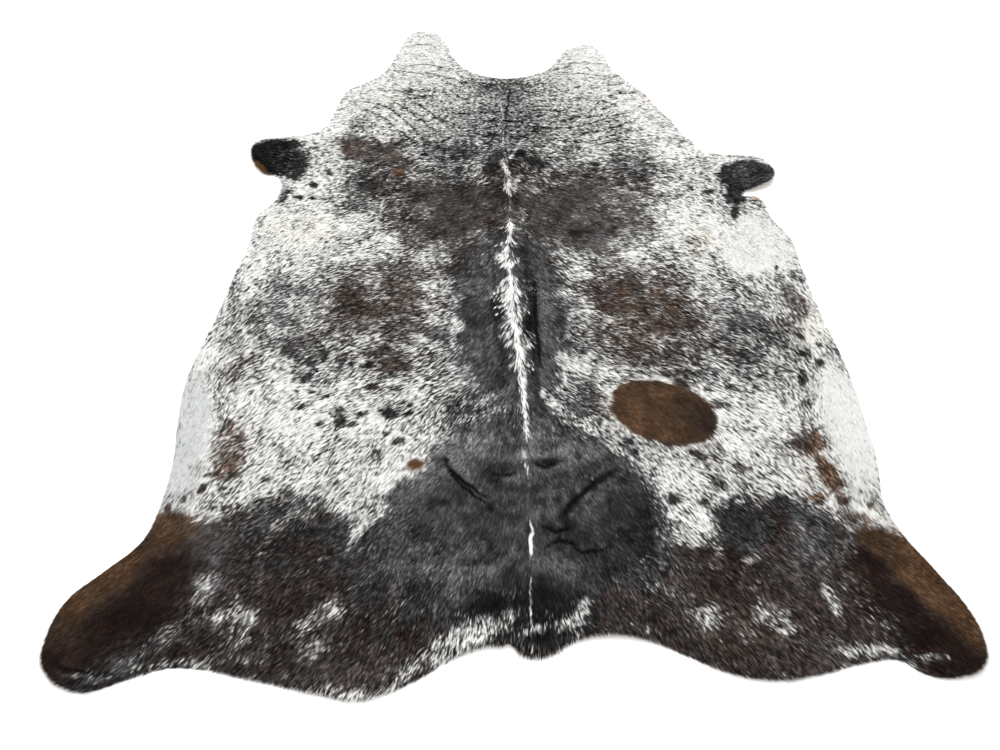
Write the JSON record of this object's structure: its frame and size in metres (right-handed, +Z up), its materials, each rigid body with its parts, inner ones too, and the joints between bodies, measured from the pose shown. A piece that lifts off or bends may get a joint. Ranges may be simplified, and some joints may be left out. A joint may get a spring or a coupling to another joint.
{
  "type": "cowhide rug",
  "caption": "Whole hair-on cowhide rug lying flat, hair side up, with the hide's own outline of neck, shanks and tail, soft creases and slightly lifted rims.",
  "frame": {"origin": "on the floor, under the middle of the hide's length and width", "axes": "+Y along the spine from the tail to the neck, +X to the right side seen from the tail, +Z up from the floor"},
  "size_m": [2.042, 2.1588, 0.0275],
  "materials": {
    "hair_on_hide": "short glossy hair, salt and pepper white and charcoal with brown patches, suede underside"
  },
  "bodies": {
    "root": {"cowhide": "hair_on_hide"}
  },
  "joints": []
}
